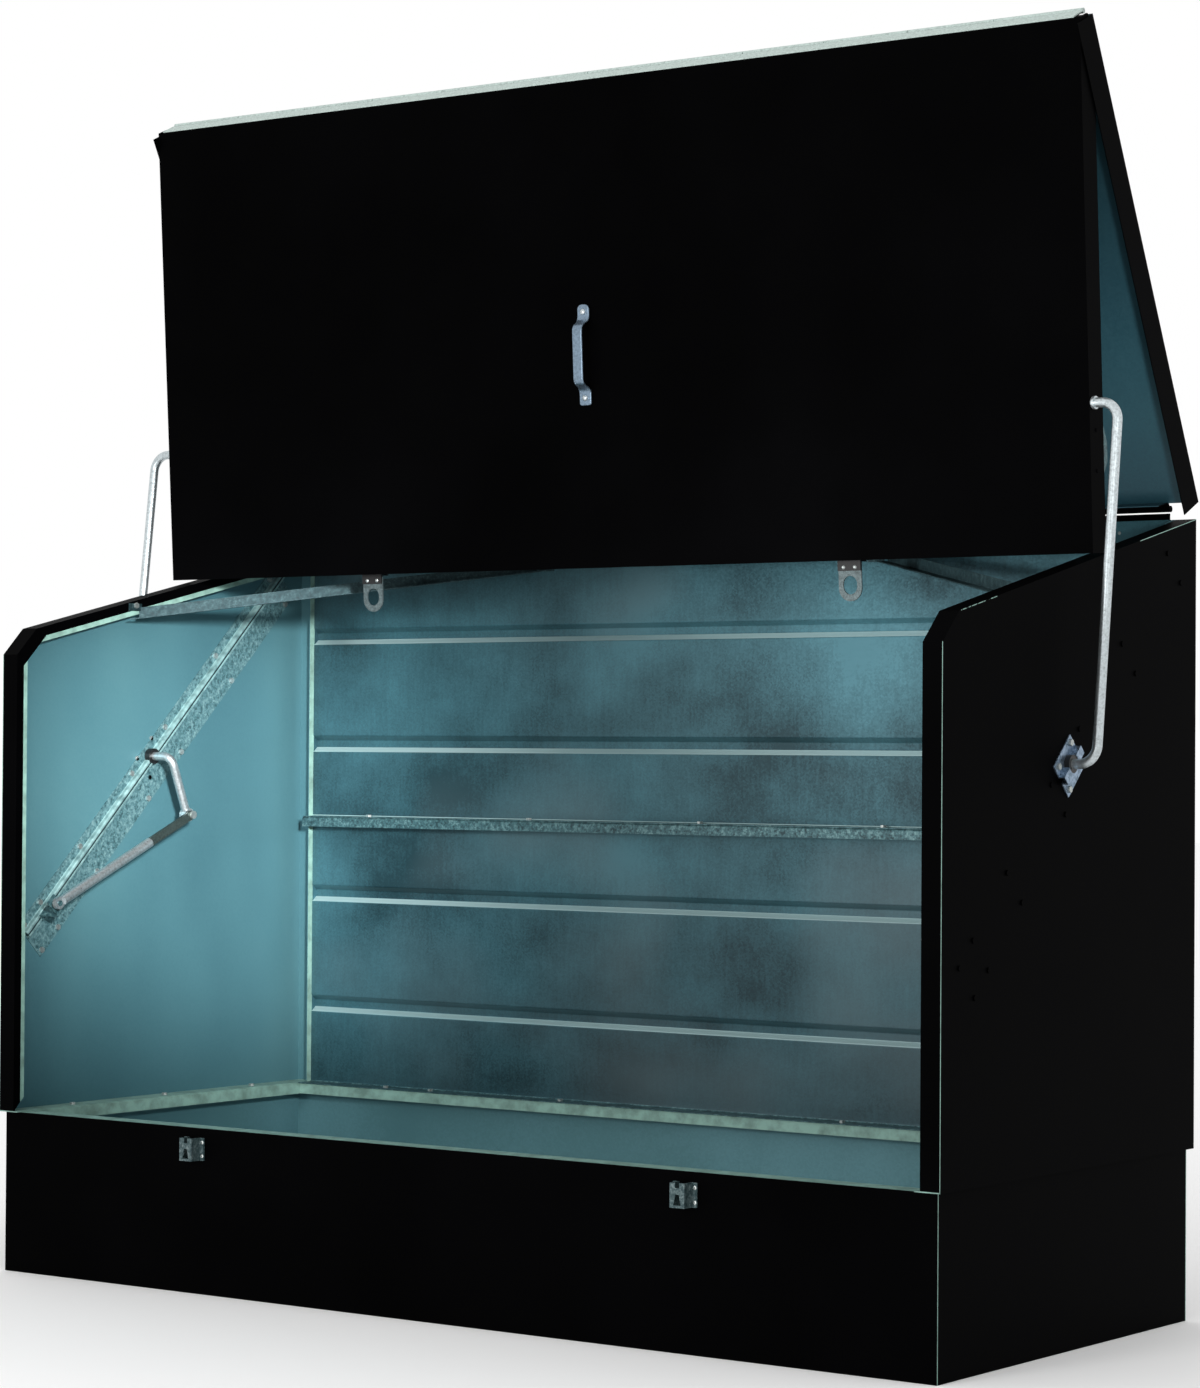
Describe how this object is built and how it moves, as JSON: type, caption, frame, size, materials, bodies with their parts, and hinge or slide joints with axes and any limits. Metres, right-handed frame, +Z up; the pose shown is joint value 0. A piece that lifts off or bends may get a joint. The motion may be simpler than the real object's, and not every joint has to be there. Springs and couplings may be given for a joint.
{
  "type": "bicycle locker",
  "caption": "Sheet metal bicycle locker with a sloping roof hinged at the back and a full-width front door hung from it, lifted by side arms.",
  "frame": {"origin": "on the ground, at the centre of the four anchor holes in the foot of the plinth", "axes": "+X to the locker's right as seen from the front, +Y from the front to the back, +Z up"},
  "size_m": [2.078, 0.8405, 2.1221],
  "materials": {
    "bush_plastic": "black moulded bush",
    "galvanised_sheet": "spangled galvanised sheet",
    "hinge_strip": "pale plated strip",
    "outer_paint": "semi-gloss black powder coat",
    "rivets": "plain rivets and bolts",
    "spring_steel": "oiled spring steel",
    "zinc": "bright zinc plate"
  },
  "bodies": {
    "cabinet": {"plinth_front": "outer_paint", "plinth_back": "outer_paint", "plinth_left": "outer_paint", "plinth_right": "outer_paint", "left_wall": "outer_paint", "right_wall": "outer_paint", "back_panel_lower": "galvanised_sheet", "back_panel_upper": "galvanised_sheet", "rear_hinge_fixed_leaf": "hinge_strip", "rear_hinge_pin": "zinc", "rear_hinge_wall_rivets": "rivets", "lock_staple_left": "zinc", "lock_staple_right": "zinc", "staple_rivets": "rivets", "pivot_channel_left": "zinc", "pivot_channel_right": "zinc", "channel_bolts": "rivets", "pivot_bracket_left": "zinc", "pivot_bracket_right": "zinc", "bracket_bolts": "rivets", "pivot_bush_left": "bush_plastic", "pivot_bush_right": "bush_plastic", "strut_anchor_left": "zinc", "strut_anchor_right": "zinc", "corner_brace_left": "zinc", "corner_brace_right": "zinc", "brace_bolts": "rivets", "plinth_bolts": "rivets", "seam_bolts": "rivets"},
    "roof": {"roof_panel": "outer_paint", "roof_stiffener": "galvanised_sheet", "rear_hinge_roof_leaf": "hinge_strip", "rear_hinge_roof_rivets": "rivets", "ridge_hinge_roof_leaf": "hinge_strip", "ridge_hinge_roof_rivets": "rivets", "ridge_hinge_pin": "zinc"},
    "door": {"door_panel": "outer_paint", "door_stiffener": "galvanised_sheet", "door_pivot_plate_left": "zinc", "door_pivot_plate_right": "zinc", "pivot_plate_rivets": "rivets", "ridge_strip": "hinge_strip", "ridge_strip_rivets": "rivets", "handle": "zinc", "handle_bolts": "rivets", "hasp_bracket_left": "zinc", "hasp_bracket_right": "zinc", "hasp_left": "zinc", "hasp_right": "zinc", "hasp_rivets": "rivets"},
    "arm_left": {"lifting_arm_left": "zinc"},
    "strut_sleeve_left": {"strut_sleeve_left": "zinc", "strut_spring_left": "spring_steel"},
    "strut_rod_left": {"strut_rod_left": "zinc", "crank_bolt_left": "rivets"},
    "arm_right": {"lifting_arm_right": "zinc"},
    "strut_sleeve_right": {"strut_sleeve_right": "zinc", "strut_spring_right": "spring_steel"},
    "strut_rod_right": {"strut_rod_right": "zinc", "crank_bolt_right": "rivets"}
  },
  "joints": [
    {"name": "roof_hinge", "type": "hinge", "parent": "cabinet", "child": "roof", "pos_m": [0, 0.4116, 1.3497], "axis": [1, 0, 0], "range_deg": [0, 76.77]},
    {"name": "arm_pivot_left", "type": "hinge", "parent": "cabinet", "child": "arm_left", "pos_m": [0, -0.02738, 0.923], "axis": [1, 0, 0], "range_deg": [0, 139.95]},
    {"name": "arm_pivot_right", "type": "hinge", "parent": "cabinet", "child": "arm_right", "pos_m": [0, -0.02738, 0.923], "axis": [1, 0, 0], "range_deg": [0, 139.95]},
    {"name": "door_pivot", "type": "hinge", "parent": "arm_left", "child": "door", "pos_m": [0, 0.04023, 1.4954], "axis": [1, 0, 0], "range_deg": [-143.4, 0]},
    {"name": "strut_swing_left", "type": "hinge", "parent": "cabinet", "child": "strut_sleeve_left", "pos_m": [0, -0.33402, 0.65783], "axis": [1, 0, 0], "range_deg": [0, 23.75]},
    {"name": "strut_slide_left", "type": "slide", "parent": "strut_sleeve_left", "child": "strut_rod_left", "axis": [0, 0.914, 0.4058], "range_m": [0, 0.12672], "deforming": ["strut_spring_left"]},
    {"name": "strut_swing_right", "type": "hinge", "parent": "cabinet", "child": "strut_sleeve_right", "pos_m": [0, -0.33402, 0.65783], "axis": [1, 0, 0], "range_deg": [0, 23.75]},
    {"name": "strut_slide_right", "type": "slide", "parent": "strut_sleeve_right", "child": "strut_rod_right", "axis": [0, 0.914, 0.4058], "range_m": [0, 0.12672], "deforming": ["strut_spring_right"]}
  ],
  "couplings": [
    {"joint": "arm_pivot_left", "follows": "roof_hinge", "ratio": 1.8229},
    {"joint": "arm_pivot_right", "follows": "roof_hinge", "ratio": 1.8229},
    {"joint": "door_pivot", "follows": "roof_hinge", "ratio": -1.8677},
    {"joint": "strut_swing_left", "follows": "roof_hinge", "ratio": 0.30927},
    {"joint": "strut_slide_left", "follows": "roof_hinge", "m_per_rad": 0.094503},
    {"joint": "strut_swing_right", "follows": "roof_hinge", "ratio": 0.30927},
    {"joint": "strut_slide_right", "follows": "roof_hinge", "m_per_rad": 0.094503}
  ]
}
